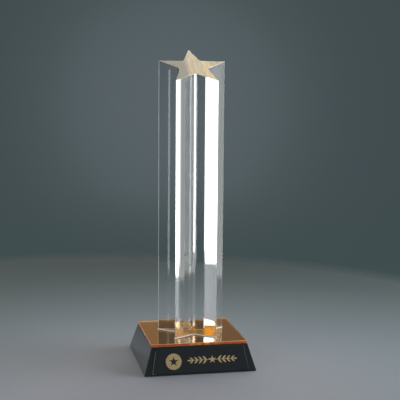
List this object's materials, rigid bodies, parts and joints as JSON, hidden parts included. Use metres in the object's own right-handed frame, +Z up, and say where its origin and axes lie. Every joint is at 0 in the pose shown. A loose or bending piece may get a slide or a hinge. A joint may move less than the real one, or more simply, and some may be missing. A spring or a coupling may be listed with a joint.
{
  "type": "column trophy",
  "caption": "Clear star-section column with a slant-cut top, standing on an amber mirror plate and a low tapered black base with a nameplate.",
  "frame": {"origin": "centre of the base's footprint, on the surface the trophy stands on", "axes": "+Z up along the column, -Y towards the nameplate at the front, +X to the right seen from the front"},
  "size_m": [0.116, 0.1166, 0.3292],
  "materials": {
    "clear_acrylic": "polished",
    "amber_acrylic": "polished",
    "mirror_film": "polished",
    "black_acrylic": "gloss",
    "black_lacquer": "gloss",
    "gold_inlay": "satin",
    "adhesive_tape": "matte",
    "felt": "matte",
    "zinc_steel": "satin",
    "ballast_steel": "matte"
  },
  "bodies": {
    "root": {"star_column": "clear_acrylic", "column_cement": "clear_acrylic", "amber_sheet": "amber_acrylic", "mirror_backing": "mirror_film", "plate_tape_left": "adhesive_tape", "plate_tape_middle": "adhesive_tape", "plate_tape_right": "adhesive_tape", "top_deck": "black_acrylic", "front_wall": "black_acrylic", "right_wall": "black_acrylic", "rear_wall": "black_acrylic", "left_wall": "black_acrylic", "nameplate": "black_lacquer", "nameplate_tape": "adhesive_tape", "gold_rosette": "gold_inlay", "gold_laurel_band": "gold_inlay", "bottom_cover": "black_acrylic", "felt_pad": "felt", "ballast_plate": "ballast_steel", "ballast_tape": "adhesive_tape", "corner_block_front_left": "black_acrylic", "cover_screw_front_left": "zinc_steel", "corner_block_front_right": "black_acrylic", "cover_screw_front_right": "zinc_steel", "corner_block_rear_right": "black_acrylic", "cover_screw_rear_right": "zinc_steel", "corner_block_rear_left": "black_acrylic", "cover_screw_rear_left": "zinc_steel"}
  },
  "joints": []
}
